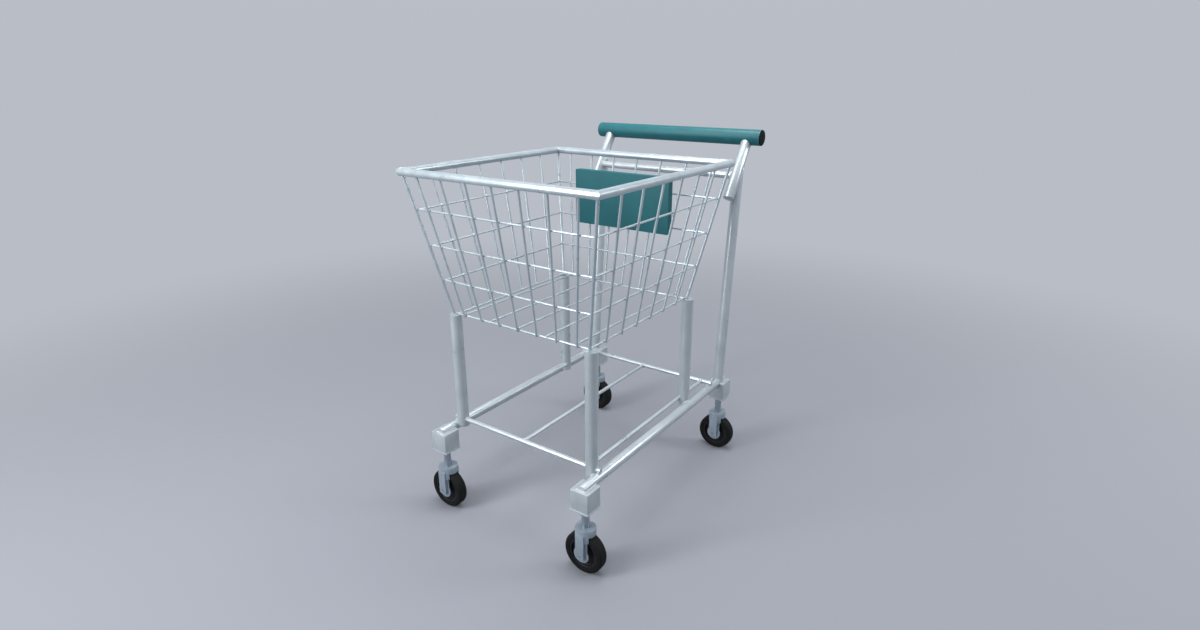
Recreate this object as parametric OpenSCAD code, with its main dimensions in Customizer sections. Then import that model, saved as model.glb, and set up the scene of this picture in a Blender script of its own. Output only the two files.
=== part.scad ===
// Shopping cart: a welded tube frame on four swivel casters, with a wire basket and a push handle.
// Sizes are in millimetres. X runs across the cart, +Y points to the handle and +Z points up.
// The origin is on the floor below the middle of the cart. Left is +X, as the person pushing sees it.

/* [Basket] */
// Rim width across the cart, between tube centrelines
rim_w = 575; // [480:1:690]
// Rim length along the cart, between tube centrelines
rim_l = 602; // [500:1:720]
// Height of the rim's centreline above the floor
rim_z = 925.5; // [765:0.5:1050]
// Diameter of the rim tube
rim_d = 19.5; // [14:0.5:22]
// Width of the basket's bottom, between wire centrelines
floor_w = 432; // [360:1:520]
// Length of the basket's bottom, between wire centrelines
floor_l = 460; // [380:1:550]
// Height of the basket's bottom ring above the floor
floor_z = 560; // [460:0.5:640]
// Distance of the bottom's middle from the rim's middle, towards the handle
floor_y = -3; // [-20:1:20]
// Diameter of the upright wires in the walls
wire_d = 6; // [4:0.5:7]
// Diameter of the four corner wires
corner_wire_d = 8; // [6:0.5:8.5]
// Diameter of the horizontal ring wires and of the bottom's rods
ring_d = 5; // [4:0.5:6]
// Upright wires in the front wall and in the rear wall
end_wire_count = 7; // [5:1:9]
// Upright wires in each side wall
side_wire_count = 6; // [4:1:8]
// Gap from a corner wire to the nearest end wall wire, as a share of their spacing
end_wire_margin = 0.6; // [0.5:0.05:1]
// Gap from a corner wire to the nearest side wall wire, as a share of their spacing
side_wire_margin = 1; // [0.5:0.05:1]
// Lengthwise rods in the basket's bottom
floor_rod_count = 5; // [3:1:7]
// Gap from the bottom's edge to its outer rod, as a share of their spacing
floor_rod_margin = 0.45; // [0.4:0.05:1]

/* [Frame] */
// Diameter of the two side rails
rail_d = 26; // [20:1:30]
// Diameter of the four legs
leg_d = 32; // [24:1:36]
// Distance from a corner wire's foot out to the leg's axis, across the cart
leg_outset = 1.5; // [0:0.5:3]
// Distance from a leg's axis to the axis of its rail, across the cart
leg_to_rail = 18.5; // [15:0.5:22]
// Distance of the legs' middle from the rim's middle, towards the handle
leg_y = 1.5; // [-10:0.5:10]
// Distance from the front leg's axis forward to the front caster's axis
front_overhang = 53; // [48:1:70]
// Distance from the rear leg's axis back to the rear caster's axis
rear_overhang = 206; // [160:1:250]
// Diameter of the two crossbars
crossbar_d = 12.5; // [10:0.5:14]
// Distance from the rear crossbar forward of the rear caster's axis
rear_bar_setback = 75; // [65:1:100]
// How far a crossbar's end reaches past the rail's axis
crossbar_reach = 7; // [0:1:12]
// Diameter of the three rods of the lower shelf
shelf_rod_d = 10; // [8:0.5:11]
// Distance of the outer shelf rods from the cart's middle plane to the leg's axis
shelf_rod_inset = 9.5; // [8:0.5:11]
// Wall thickness of the frame tubes
tube_wall = 2; // [1.5:0.1:3]

/* [Handle] */
// Height of the grip's axis above the floor
handle_z = 973; // [880:0.5:1060]
// Diameter of the grip
grip_d = 45; // [40:0.5:50]
// Length of the grip
grip_l = 561; // [540:1:680]
// Diameter of the steel tube inside the grip
handle_tube_d = 32; // [32:0.5:34]
// Diameter of the handle's two arms
arm_d = 31; // [26:0.5:32]
// Length of an arm, from the grip's axis to its lower end
arm_l = 195; // [170:1:230]
// Lean of the arms back from the vertical, in degrees
arm_lean = 34; // [28:0.5:40]
// Diameter of the two uprights
upright_d = 30; // [24:0.5:31]
// Lean of the uprights back from the vertical, in degrees
upright_lean = 4.3; // [2:0.1:7]
// Distance from the upright's foot forward of the rear caster's axis
upright_setback = 13.5; // [8:0.5:18]
// Height of the grip's axis above the point where arm and upright axes cross
arm_join_drop = 76; // [66:1:92]
// Diameter of the bar that links the two arms
link_d = 20; // [14:0.5:22]
// Distance from the grip's axis down the arm to the link bar
link_drop = 123; // [112:1:150]

/* [Board] */
// Width of the board inside the basket's rear wall
board_w = 310; // [240:1:380]
// Height of the board
board_h = 155; // [140:1:190]
// Thickness of the board
board_t = 20; // [15:0.5:25]
// Height of the board's middle above the middle between the two ring wires that carry it
board_rise = 21; // [-20:0.5:30]
// Gap from the board's back to the rear ring wire behind its lower half
board_standoff = 22; // [16:1:40]

/* [Casters] */
// Diameter of the wheels
wheel_d = 110; // [80:1:125]
// Width of the tyres
wheel_w = 29; // [22:1:32]
// Diameter of the round crown at the top of the fork
crown_d = 52; // [46:1:60]
// Height of the crown above the wheel
crown_h = 12.5; // [10:0.5:20]
// How far the crown reaches down on each side of the wheel
crown_skirt = 19.5; // [12:0.5:24]
// Height of the bare stem between the crown and the corner block
stem_free = 52.5; // [30:0.5:70]
// Diameter of the stem
stem_d = 19; // [16:0.5:20]
// Width of the fork's flat arms
fork_arm_w = 35; // [30:1:38]
// Thickness of the fork's flat arms
fork_arm_t = 3.5; // [3:0.5:6]
// Diameter of the round foot of each fork arm
fork_boss_d = 43; // [39:1:46]
// Width of the rib that stands on the outside of each fork arm
rib_w = 24; // [18:1:28]
// How far the rib stands out from the fork arm
rib_t = 7; // [4:0.5:8]
// Diameter of the axle
axle_d = 10; // [8:0.5:12]
// Side length of the square corner blocks
block_w = 52; // [46:1:60]
// Height of the corner blocks
block_h = 53; // [48:1:60]

/* [Hidden] */
$fn = 48;

// Finishes
coat = [0.62, 0.66, 0.69];
zinc = [0.55, 0.60, 0.66];
teal = [0.14, 0.40, 0.43];
black = [0.08, 0.08, 0.09];

// Clearances
weld_gap = 0.1;
press_gap = 0.05;
running_gap = 0.08;
seat_gap = 0.3;
over = 1;

// Directions
X_AXIS = [0, 90, 0];
Y_AXIS = [-90, 0, 0];

// Turn of a rod about its own axis that keeps its seam out of the copes
SEAM_TURN = [0, 0, 90];

// Basket walls
ring_levels = 4;
rim_wall = 1.5;
slope_x = (rim_w - floor_w) / 2 / (rim_z - floor_z);
slope_front = (rim_l / 2 - floor_l / 2 + floor_y) / (rim_z - floor_z);
slope_rear = (rim_l / 2 - floor_l / 2 - floor_y) / (rim_z - floor_z);
wire_offset = (wire_d + ring_d) / 2 + weld_gap;
wire_foot_z = floor_z - ring_d / 2;

// Casters, from the floor up
wheel_gap = 3;
hub_gap = 0.5;
hub_overhang = 1;
fork_gap = wheel_w / 2 + hub_overhang + hub_gap;
crown_z = wheel_d + wheel_gap;
rib_rise = 0.5;
rib_drop = 8;
axle_inset = 0.3;
plate_t = 3;
plate_lip = 1.5;
plate_z = crown_z + crown_h + stem_free;
block_z = plate_z + plate_t;
rail_z = block_z + block_h;
block_round = 3;
rail_end_inset = 9;
stem_top_cover = 4.5;
socket_top_z = rail_z - rail_d / 2 - stem_top_cover;
stem_top_z = socket_top_z - seat_gap;
bush_wall = 3;
bush_top_cover = 5.5;
bush_top_z = stem_top_z - bush_top_cover;
clip_t = 1.5;
clip_z = bush_top_z + seat_gap;
clip_groove = 1;
clip_side_gap = 0.5;
plate_hole_gap = 0.7;
screw_d = 4;
screw_head_d = 8;
screw_head_h = 2.2;
screw_l = 14;
screw_inset = 6;
screw_pitch = block_w - 2 * screw_inset;
axle_z = wheel_d / 2;
tyre_depth = 15;
tyre_round = 7;
core_web_t = 9;
core_rim_t = 5;
core_rim_setback = 2;
hub_d = 30;

// Frame
leg_x = floor_w / 2 + leg_outset;
leg_front_y = leg_y - floor_l / 2;
leg_rear_y = leg_y + floor_l / 2;
leg_top_z = wire_foot_z - weld_gap;
leg_foot_z = rail_z;
rail_x = leg_x + leg_to_rail;
front_caster_y = leg_front_y - front_overhang;
rear_caster_y = leg_rear_y + rear_overhang;
rail_front_y = front_caster_y - block_w / 2 + rail_end_inset;
rail_rear_y = rear_caster_y + block_w / 2 - rail_end_inset;
bar_z = rail_z + rail_d / 2 + crossbar_d / 2 + weld_gap;
bar_half = rail_x + crossbar_reach;
rear_bar_y = rear_caster_y - rear_bar_setback;
shelf_rod_x = leg_x - shelf_rod_inset;

// Handle
upright_foot_y = rear_caster_y - upright_setback;
join_z = handle_z - arm_join_drop;
join_y = upright_foot_y + (join_z - rail_z) * tan(upright_lean);
handle_y = join_y + arm_join_drop * tan(arm_lean);
plug_t = 2.5;
plug_inset = 0.5;
plug_depth = 14;
plug_wall = 2.5;

// Board
board_back_y = rear_y(ring_height(2)) - ring_inset(slope_rear) - ring_d / 2 - board_standoff;
board_z = (ring_height(2) + ring_height(3)) / 2 + board_rise;
board_round = 3;
bracket_w = 20;
bracket_t = 3;
bracket_x = board_w / 3;
bracket_tab = 28;
bracket_hole = 17;
board_screw_d = 5;
board_screw_l = 14;
board_screw_head_d = 9;
board_screw_head_h = 3;

// The cart's ends, and the shift that puts its middle over the origin
front_end_y = min(-rim_l / 2 - rim_d / 2, front_caster_y - block_w / 2 - plate_lip);
rear_end_y = max(handle_y + grip_d / 2, rear_caster_y + block_w / 2 + plate_lip);
mid_y = (front_end_y + rear_end_y) / 2;

// One corner each: [side, caster's Y, end the rail points to]
FRONT_LEFT = [1, front_caster_y, -1];
FRONT_RIGHT = [-1, front_caster_y, -1];
REAR_LEFT = [1, rear_caster_y, 1];
REAR_RIGHT = [-1, rear_caster_y, 1];
CORNERS = [FRONT_LEFT, FRONT_RIGHT, REAR_LEFT, REAR_RIGHT];

// The basket's walls at a height
function half_w(z) = floor_w / 2 + slope_x * (z - floor_z);
function front_y(z) = floor_y - floor_l / 2 - slope_front * (z - floor_z);
function rear_y(z) = floor_y + floor_l / 2 + slope_rear * (z - floor_z);
function ring_height(level) = floor_z + (rim_z - floor_z) * level / ring_levels;
function ring_inset(slope) = wire_offset * sqrt(1 + slope * slope);

// Places of a row of count things across a width, with a margin in shares of their spacing
function row(count, margin, width) =
    let (pitch = width / (count - 1 + 2 * margin))
    [for (i = [0 : count - 1]) (i - (count - 1) / 2) * pitch];

// Moves the cart's own Y to the frame's Y
module in_frame() {
    translate([0, -mid_y, 0]) children();
}

// Straight round rod between two points
module rod(a, b, d) {
    v = b - a;
    length = norm(v);
    translate(a)
        rotate([0, acos(v[2] / length), atan2(v[1], v[0])])
            rotate(SEAM_TURN) cylinder(h = length, d = d);
}

// Straight round tube between two points, closed by a wall at each end that has a cap
module tube(a, b, d, wall, cap_a = 0, cap_b = 0) {
    v = b - a;
    length = norm(v);
    low = cap_a > 0 ? cap_a : -over;
    high = cap_b > 0 ? length - cap_b : length + over;
    translate(a)
        rotate([0, acos(v[2] / length), atan2(v[1], v[0])])
            difference() {
                cylinder(h = length, d = d);
                translate([0, 0, low]) cylinder(h = high - low, d = d - 2 * wall);
            }
}

// Bar along X with both ends mitred, its outer side towards -Y
module mitred_bar(length, d, wall = 0) {
    intersection() {
        rotate(X_AXIS)
            difference() {
                cylinder(h = length + 2 * d, d = d, center = true);
                if (wall > 0) cylinder(h = length + 3 * d, d = d - 2 * wall, center = true);
            }
        linear_extrude(height = 2 * d, center = true)
            polygon([
                [-length / 2 - d, -d], [length / 2 + d, -d],
                [length / 2 - d, d], [-length / 2 + d, d]
            ]);
    }
}

// Closed rectangle of four mitred bars round the walls' inside, at one height
module mitred_frame(half_x, y_front, y_rear, z, d, wall = 0) {
    length_x = 2 * half_x - weld_gap;
    length_y = y_rear - y_front - weld_gap;
    y_mid = (y_front + y_rear) / 2;
    translate([0, y_front, z]) mitred_bar(length_x, d, wall);
    translate([0, y_rear, z]) rotate([0, 0, 180]) mitred_bar(length_x, d, wall);
    translate([half_x, y_mid, z]) rotate([0, 0, 90]) mitred_bar(length_y, d, wall);
    translate([-half_x, y_mid, z]) rotate([0, 0, -90]) mitred_bar(length_y, d, wall);
}

// Square plate with round corners, standing on its base
module round_square(width, height, round) {
    linear_extrude(height = height) round_outline(width, width, round);
}

module round_outline(width, depth, round) {
    square([width - 2 * round, depth], center = true);
    square([width, depth - 2 * round], center = true);
    for (x = [-1, 1], y = [-1, 1])
        translate([x * (width / 2 - round), y * (depth / 2 - round)]) circle(r = round);
}

// Space taken by the rim tubes, for the wires that end under them
module rim_space() {
    d = rim_d + 2 * weld_gap;
    for (y = [-rim_l / 2, rim_l / 2])
        translate([0, y, rim_z]) rotate(X_AXIS) cylinder(h = rim_w + rim_d, d = d, center = true);
    for (x = [-rim_w / 2, rim_w / 2])
        translate([x, 0, rim_z]) rotate(Y_AXIS) cylinder(h = rim_l + rim_d, d = d, center = true);
}

// Wires that start flush with the bottom ring and end coped under the rim
module wire_set(d, feet, heads) {
    color(coat) in_frame()
        difference() {
            for (i = [0 : len(feet) - 1]) {
                step = (heads[i] - feet[i]) / (rim_z - floor_z);
                rod(feet[i] - step * 2 * ring_d, heads[i], d);
            }
            rim_space();
            translate([-rim_w, -rim_l, wire_foot_z - 4 * ring_d]) cube([2 * rim_w, 2 * rim_l, 4 * ring_d]);
        }
}

module end_wires(y_foot, y_head) {
    feet_x = row(end_wire_count, end_wire_margin, floor_w);
    heads_x = row(end_wire_count, end_wire_margin, rim_w);
    wire_set(
        wire_d,
        [for (x = feet_x) [x, y_foot, floor_z]],
        [for (x = heads_x) [x, y_head, rim_z]]
    );
}

module side_wires(side) {
    feet_y = row(side_wire_count, side_wire_margin, floor_l);
    heads_y = row(side_wire_count, side_wire_margin, rim_l);
    wire_set(
        wire_d,
        [for (y = feet_y) [side * floor_w / 2, floor_y + y, floor_z]],
        [for (y = heads_y) [side * rim_w / 2, y, rim_z]]
    );
}

module corner_wires() {
    signs = [[1, 1], [-1, 1], [-1, -1], [1, -1]];
    wire_set(
        corner_wire_d,
        [for (s = signs) [s[0] * floor_w / 2, floor_y + s[1] * floor_l / 2, floor_z]],
        [for (s = signs) [s[0] * rim_w / 2, s[1] * rim_l / 2, rim_z]]
    );
}

module basket_rim() {
    color(coat) in_frame() mitred_frame(rim_w / 2, -rim_l / 2, rim_l / 2, rim_z, rim_d, rim_wall);
}

// Ring wire inside the wall wires, at one quarter of the basket's height each
module wall_ring(level) {
    z = ring_height(level);
    color(coat) in_frame()
        mitred_frame(
            half_w(z) - ring_inset(slope_x),
            front_y(z) + ring_inset(slope_front),
            rear_y(z) - ring_inset(slope_rear),
            z, ring_d
        );
}

// Rods laid on the bottom ring from front to rear
module floor_rods() {
    z = floor_z + ring_d + weld_gap;
    start_y = front_y(floor_z) + ring_inset(slope_front) - ring_d / 2;
    end_y = rear_y(floor_z) - ring_inset(slope_rear) + ring_d / 2;
    color(coat) in_frame()
        for (x = row(floor_rod_count, floor_rod_margin, floor_w))
            rod([x, start_y, z], [x, end_y, z], ring_d);
}

// Side rail, lying half sunk in a corner block at each end
module rail(side) {
    color(coat) in_frame()
        tube([side * rail_x, rail_front_y, rail_z], [side * rail_x, rail_rear_y, rail_z],
            rail_d, tube_wall, tube_wall, tube_wall);
}

// Space taken by a rail, for what is coped round it
module rail_space(side, gap) {
    rod([side * rail_x, rail_front_y - gap, rail_z], [side * rail_x, rail_rear_y + gap, rail_z],
        rail_d + 2 * gap);
}

module crossbar_line(y, d, reach = 0) {
    rod([-bar_half - reach, y, bar_z], [bar_half + reach, y, bar_z], d);
}

module shelf_rod_line(x, d) {
    rod([x, leg_front_y, bar_z], [x, rear_bar_y, bar_z], d);
}

// Leg from the middle of the rail's height to the bottom ring, closed at its top
module leg(side, y) {
    color(coat) in_frame()
        difference() {
            tube([side * leg_x, y, leg_foot_z], [side * leg_x, y, leg_top_z],
                leg_d, tube_wall, 0, tube_wall);
            rail_space(side, weld_gap);
            crossbar_line(leg_front_y, crossbar_d + 2 * weld_gap, over);
            shelf_rod_line(side * shelf_rod_x, shelf_rod_d + 2 * weld_gap);
        }
}

// The front crossbar runs through the front legs and the rear one lies on the rails
module crossbar(y) {
    color(coat) in_frame() crossbar_line(y, crossbar_d);
}

// Three rods from crossbar to crossbar, the outer two through the rear legs
module shelf_rods() {
    color(coat) in_frame()
        difference() {
            for (x = [-shelf_rod_x, 0, shelf_rod_x]) shelf_rod_line(x, shelf_rod_d);
            crossbar_line(leg_front_y, crossbar_d + 2 * weld_gap);
            translate([-rim_w / 2, leg_front_y - crossbar_d, bar_z - crossbar_d])
                cube([rim_w, crossbar_d, 2 * crossbar_d]);
            crossbar_line(rear_bar_y, crossbar_d + 2 * weld_gap);
        }
}

// Points on the arm's axis at a distance down from the grip's axis
function arm_point(side, down) =
    [side * rail_x, handle_y - down * sin(arm_lean), handle_z - down * cos(arm_lean)];

// Space taken by a rear corner block, for the upright that stands over it
module rear_block_space(side, gap) {
    translate([side * rail_x, rear_caster_y, block_z])
        linear_extrude(height = block_h + gap) square(block_w + 2 * gap, center = true);
}

module upright_space(side, gap) {
    rod([side * rail_x, upright_foot_y, rail_z], [side * rail_x, join_y, join_z], upright_d + 2 * gap);
}

module arm_space(side, gap) {
    rod(arm_point(side, arm_l + gap), arm_point(side, 0), arm_d + 2 * gap);
}

module handle_tube_space(gap) {
    rod([-grip_l, handle_y, handle_z], [grip_l, handle_y, handle_z], handle_tube_d + 2 * gap);
}

// Upright over the end of the rail, coped on it at its foot and on the arm at its top
module upright(side) {
    color(coat) in_frame()
        difference() {
            tube([side * rail_x, upright_foot_y, rail_z], [side * rail_x, join_y, join_z],
                upright_d, tube_wall);
            rail_space(side, weld_gap);
            rear_block_space(side, weld_gap);
            arm_space(side, weld_gap);
        }
}

// Arm from its closed lower end up to the steel tube inside the grip
module handle_arm(side) {
    color(coat) in_frame()
        difference() {
            tube(arm_point(side, arm_l), arm_point(side, 0), arm_d, tube_wall, tube_wall, 0);
            handle_tube_space(weld_gap);
        }
}

module link_bar() {
    color(coat) in_frame()
        difference() {
            tube(arm_point(-1, link_drop), arm_point(1, link_drop), link_d, rim_wall);
            for (side = [-1, 1]) {
                arm_space(side, weld_gap);
                upright_space(side, weld_gap);
            }
        }
}

module handle_tube() {
    half = grip_l / 2 - plug_t;
    color(coat) in_frame()
        tube([-half, handle_y, handle_z], [half, handle_y, handle_z], handle_tube_d, tube_wall);
}

// Grip sleeve over the steel tube, with a round cut where each arm enters
module handle_grip() {
    half = grip_l / 2 - plug_t;
    color(teal) in_frame()
        difference() {
            rod([-half, handle_y, handle_z], [half, handle_y, handle_z], grip_d);
            handle_tube_space(press_gap);
            for (side = [-1, 1]) arm_space(side, seat_gap);
        }
}

// Plugs with a hollow shank and a wide flat head that closes the ends of tube and grip
module handle_end_plugs() {
    face_d = grip_d - 2 * plug_inset;
    shank_d = handle_tube_d - 2 * tube_wall - 2 * press_gap;
    color(black) in_frame()
        for (side = [-1, 1])
            translate([side * (grip_l / 2 - plug_t + press_gap), handle_y, handle_z])
                rotate([0, side * 90, 0]) {
                    cylinder(h = plug_t - press_gap, d = face_d);
                    translate([0, 0, -plug_depth])
                        difference() {
                            cylinder(h = plug_depth + over, d = shank_d);
                            translate([0, 0, -over])
                                cylinder(h = plug_depth + over, d = shank_d - 2 * plug_wall);
                        }
                }
}

module at_corner(corner) {
    in_frame() translate([corner[0] * rail_x, corner[1], 0]) children();
}

// Places of the four screws that hold a base plate
module at_screws() {
    for (x = [-1, 1], y = [-1, 1])
        translate([x * screw_pitch / 2, y * screw_pitch / 2, 0]) children();
}

// Cast block that holds the end of a rail above and the caster's stem below
module corner_block(corner) {
    color(coat) difference() {
        at_corner(corner) translate([0, 0, block_z]) round_square(block_w, block_h, block_round);
        in_frame() rail_space(corner[0], weld_gap);
        at_corner(corner) {
            cylinder(h = socket_top_z, r = stem_d / 2 + running_gap + bush_wall + press_gap);
            at_screws() cylinder(h = plate_z + screw_l + over, d = screw_d + 2 * press_gap);
        }
    }
}

module base_plates() {
    color(coat)
        for (corner = CORNERS)
            at_corner(corner)
                difference() {
                    translate([0, 0, plate_z])
                        round_square(block_w + 2 * plate_lip, plate_t - press_gap, block_round);
                    cylinder(h = block_z, r = stem_d / 2 + plate_hole_gap);
                    at_screws() {
                        cylinder(h = block_z, d = screw_d + 2 * weld_gap);
                        translate([0, 0, plate_z - press_gap])
                            cylinder(h = screw_head_h + press_gap,
                                d1 = screw_head_d + 4 * press_gap, d2 = screw_d);
                    }
                }
}

// Countersunk screws, heads flush with the underside of the plate
module base_plate_screws() {
    color(zinc)
        for (corner = CORNERS)
            at_corner(corner)
                at_screws()
                    translate([0, 0, plate_z]) {
                        cylinder(h = screw_head_h - press_gap, d1 = screw_head_d, d2 = screw_d);
                        cylinder(h = screw_l, d = screw_d);
                    }
}

// Plain sleeves that the stems turn in
module stem_bushes() {
    inner_r = stem_d / 2 + running_gap;
    color(black)
        for (corner = CORNERS)
            at_corner(corner)
                translate([0, 0, block_z + press_gap])
                    difference() {
                        cylinder(h = bush_top_z - block_z - press_gap, r = inner_r + bush_wall);
                        translate([0, 0, -over]) cylinder(h = bush_top_z, r = inner_r);
                    }
}

// Stem fixed in the fork's crown, with the retaining ring that keeps it in its bush
module stem(corner) {
    color(zinc) at_corner(corner) {
        difference() {
            translate([0, 0, crown_z]) cylinder(h = stem_top_z - crown_z, d = stem_d);
            translate([0, 0, clip_z])
                difference() {
                    cylinder(h = clip_t + 2 * press_gap, d = 2 * stem_d);
                    translate([0, 0, -over]) cylinder(h = clip_t + 3 * over, d = stem_d - 2 * clip_groove);
                }
        }
        translate([0, 0, clip_z + press_gap])
            difference() {
                cylinder(h = clip_t, r = stem_d / 2 + bush_wall - clip_side_gap);
                translate([0, 0, -over])
                    cylinder(h = clip_t + 2 * over, d = stem_d - 2 * clip_groove + 2 * press_gap);
            }
    }
}

// Flat bar on one side of a fork, from the wheel's gap out to its outer face
module fork_bar(side, width, outer, low, high) {
    inner = fork_gap - over;
    translate([-width / 2, side > 0 ? inner : -outer, low]) cube([width, outer - inner, high - low]);
}

// Cast fork: a round crown over a round pocket for the wheel, and two flat arms with a rib outside
module fork(corner) {
    arm_face = fork_gap + fork_arm_t;
    color(zinc) at_corner(corner)
        difference() {
            union() {
                translate([0, 0, crown_z - crown_skirt]) cylinder(h = crown_h + crown_skirt, d = crown_d);
                for (side = [-1, 1]) {
                    fork_bar(side, fork_arm_w, arm_face, axle_z, crown_z);
                    fork_bar(side, rib_w, arm_face + rib_t, axle_z - rib_drop, crown_z + rib_rise);
                    translate([0, side * fork_gap, axle_z])
                        rotate([-90 * side, 0, 0]) cylinder(h = fork_arm_t, d = fork_boss_d);
                }
            }
            translate([0, 0, axle_z])
                rotate(Y_AXIS)
                    cylinder(h = 2 * fork_gap, r = wheel_d / 2 + wheel_gap, center = true, $fn = 96);
            cylinder(h = crown_z + crown_h + over, r = stem_d / 2 + press_gap);
            translate([0, 0, axle_z])
                rotate(Y_AXIS) cylinder(h = 2 * crown_d, r = axle_d / 2 + press_gap, center = true);
        }
}

// Axle pin, pressed through both arms and ribs and ending just inside them
module axle(corner) {
    half = fork_gap + fork_arm_t + rib_t - axle_inset;
    color(zinc) at_corner(corner)
        translate([0, 0, axle_z]) rotate(Y_AXIS) cylinder(h = 2 * half, d = axle_d, center = true);
}

// Moulded wheel centre: a hub and a rim joined by a web
module wheel(corner) {
    rim_r = wheel_d / 2 - tyre_depth;
    bore_r = axle_d / 2 + running_gap;
    hub_half = fork_gap - hub_gap;
    rim_half = wheel_w / 2 - core_rim_setback;
    color(black) at_corner(corner)
        translate([0, 0, axle_z]) rotate(Y_AXIS)
            rotate_extrude()
                polygon([
                    [bore_r, -hub_half], [hub_d / 2, -hub_half], [hub_d / 2, -core_web_t / 2],
                    [rim_r - core_rim_t, -core_web_t / 2], [rim_r - core_rim_t, -rim_half],
                    [rim_r, -rim_half], [rim_r, rim_half],
                    [rim_r - core_rim_t, rim_half], [rim_r - core_rim_t, core_web_t / 2],
                    [hub_d / 2, core_web_t / 2], [hub_d / 2, hub_half], [bore_r, hub_half]
                ]);
}

// Solid rubber tyre with round shoulders
module tyre(corner) {
    outer_r = wheel_d / 2;
    inner_r = outer_r - tyre_depth + press_gap;
    color(black) at_corner(corner)
        translate([0, 0, axle_z]) rotate(Y_AXIS)
            rotate_extrude($fn = 96) {
                translate([inner_r, -wheel_w / 2]) square([outer_r - tyre_round - inner_r, wheel_w]);
                translate([inner_r, -wheel_w / 2 + tyre_round])
                    square([outer_r - inner_r, wheel_w - 2 * tyre_round]);
                for (side = [-1, 1])
                    translate([outer_r - tyre_round, side * (wheel_w / 2 - tyre_round)])
                        circle(r = tyre_round);
            }
}

// Places where a bracket's tab is screwed to the board
module at_board_screws() {
    for (x = [-bracket_x, bracket_x], z = [ring_height(2) + bracket_hole, ring_height(3) - bracket_hole])
        translate([x, board_back_y, z]) children();
}

module board_screw_space() {
    at_board_screws()
        rotate(Y_AXIS) cylinder(h = 2 * board_screw_l, d = board_screw_d + 2 * weld_gap, center = true);
}

// Flat board that stands upright inside the rear wall
module rear_board() {
    color(teal) in_frame()
        difference() {
            translate([0, board_back_y, board_z]) rotate([90, 0, 0])
                linear_extrude(height = board_t) round_outline(board_w, board_h, board_round);
            board_screw_space();
        }
}

// One bent bracket: a flat arm forward from a ring wire, and a tab up or down the board's back
module board_bracket(level, tab_side) {
    z = ring_height(level);
    start_y = board_back_y + weld_gap;
    end_y = rear_y(z) - ring_inset(slope_rear) - ring_d / 2 - weld_gap;
    translate([-bracket_w / 2, start_y, z - bracket_t / 2]) cube([bracket_w, end_y - start_y, bracket_t]);
    translate([-bracket_w / 2, start_y, tab_side > 0 ? z - bracket_t / 2 : z + bracket_t / 2 - bracket_tab])
        cube([bracket_w, bracket_t, bracket_tab]);
}

// Four bent brackets welded to the two rear ring wires behind the board
module board_brackets() {
    color(coat) in_frame()
        difference() {
            for (x = [-bracket_x, bracket_x])
                translate([x, 0, 0]) {
                    board_bracket(2, 1);
                    board_bracket(3, -1);
                }
            board_screw_space();
        }
}

module board_screws() {
    head_y = bracket_t + 2 * weld_gap;
    color(zinc) in_frame()
        at_board_screws()
            translate([0, head_y, 0]) rotate(Y_AXIS) {
                cylinder(h = board_screw_head_h, d = board_screw_head_d);
                translate([0, 0, -board_screw_l + head_y]) cylinder(h = board_screw_l, d = board_screw_d);
            }
}

rail(1);  // left_rail
rail(-1);  // right_rail
leg(1, leg_front_y);  // front_left_leg
leg(-1, leg_front_y);  // front_right_leg
leg(1, leg_rear_y);  // rear_left_leg
leg(-1, leg_rear_y);  // rear_right_leg
crossbar(leg_front_y);  // front_crossbar
crossbar(rear_bar_y);  // rear_crossbar
shelf_rods();
upright(1);  // left_upright
upright(-1);  // right_upright
handle_arm(1);  // left_handle_arm
handle_arm(-1);  // right_handle_arm
link_bar();
handle_tube();
handle_grip();
handle_end_plugs();
corner_block(FRONT_LEFT);  // front_left_block
corner_block(FRONT_RIGHT);  // front_right_block
corner_block(REAR_LEFT);  // rear_left_block
corner_block(REAR_RIGHT);  // rear_right_block
base_plates();
base_plate_screws();
stem_bushes();
basket_rim();
corner_wires();
end_wires(floor_y - floor_l / 2, -rim_l / 2);  // front_wires
end_wires(floor_y + floor_l / 2, rim_l / 2);  // rear_wires
side_wires(1);  // left_wires
side_wires(-1);  // right_wires
wall_ring(0);  // bottom_ring
wall_ring(1);  // low_ring
wall_ring(2);  // middle_ring
wall_ring(3);  // high_ring
floor_rods();
rear_board();
board_brackets();
board_screws();
stem(FRONT_LEFT);  // front_left_stem
stem(FRONT_RIGHT);  // front_right_stem
stem(REAR_LEFT);  // rear_left_stem
stem(REAR_RIGHT);  // rear_right_stem
fork(FRONT_LEFT);  // front_left_fork
fork(FRONT_RIGHT);  // front_right_fork
fork(REAR_LEFT);  // rear_left_fork
fork(REAR_RIGHT);  // rear_right_fork
axle(FRONT_LEFT);  // front_left_axle
axle(FRONT_RIGHT);  // front_right_axle
axle(REAR_LEFT);  // rear_left_axle
axle(REAR_RIGHT);  // rear_right_axle
wheel(FRONT_LEFT);  // front_left_wheel
wheel(FRONT_RIGHT);  // front_right_wheel
wheel(REAR_LEFT);  // rear_left_wheel
wheel(REAR_RIGHT);  // rear_right_wheel
tyre(FRONT_LEFT);  // front_left_tyre
tyre(FRONT_RIGHT);  // front_right_tyre
tyre(REAR_LEFT);  // rear_left_tyre
tyre(REAR_RIGHT);  // rear_right_tyre
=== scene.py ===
import math
import bmesh
import bpy
from mathutils import Matrix, Vector


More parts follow.
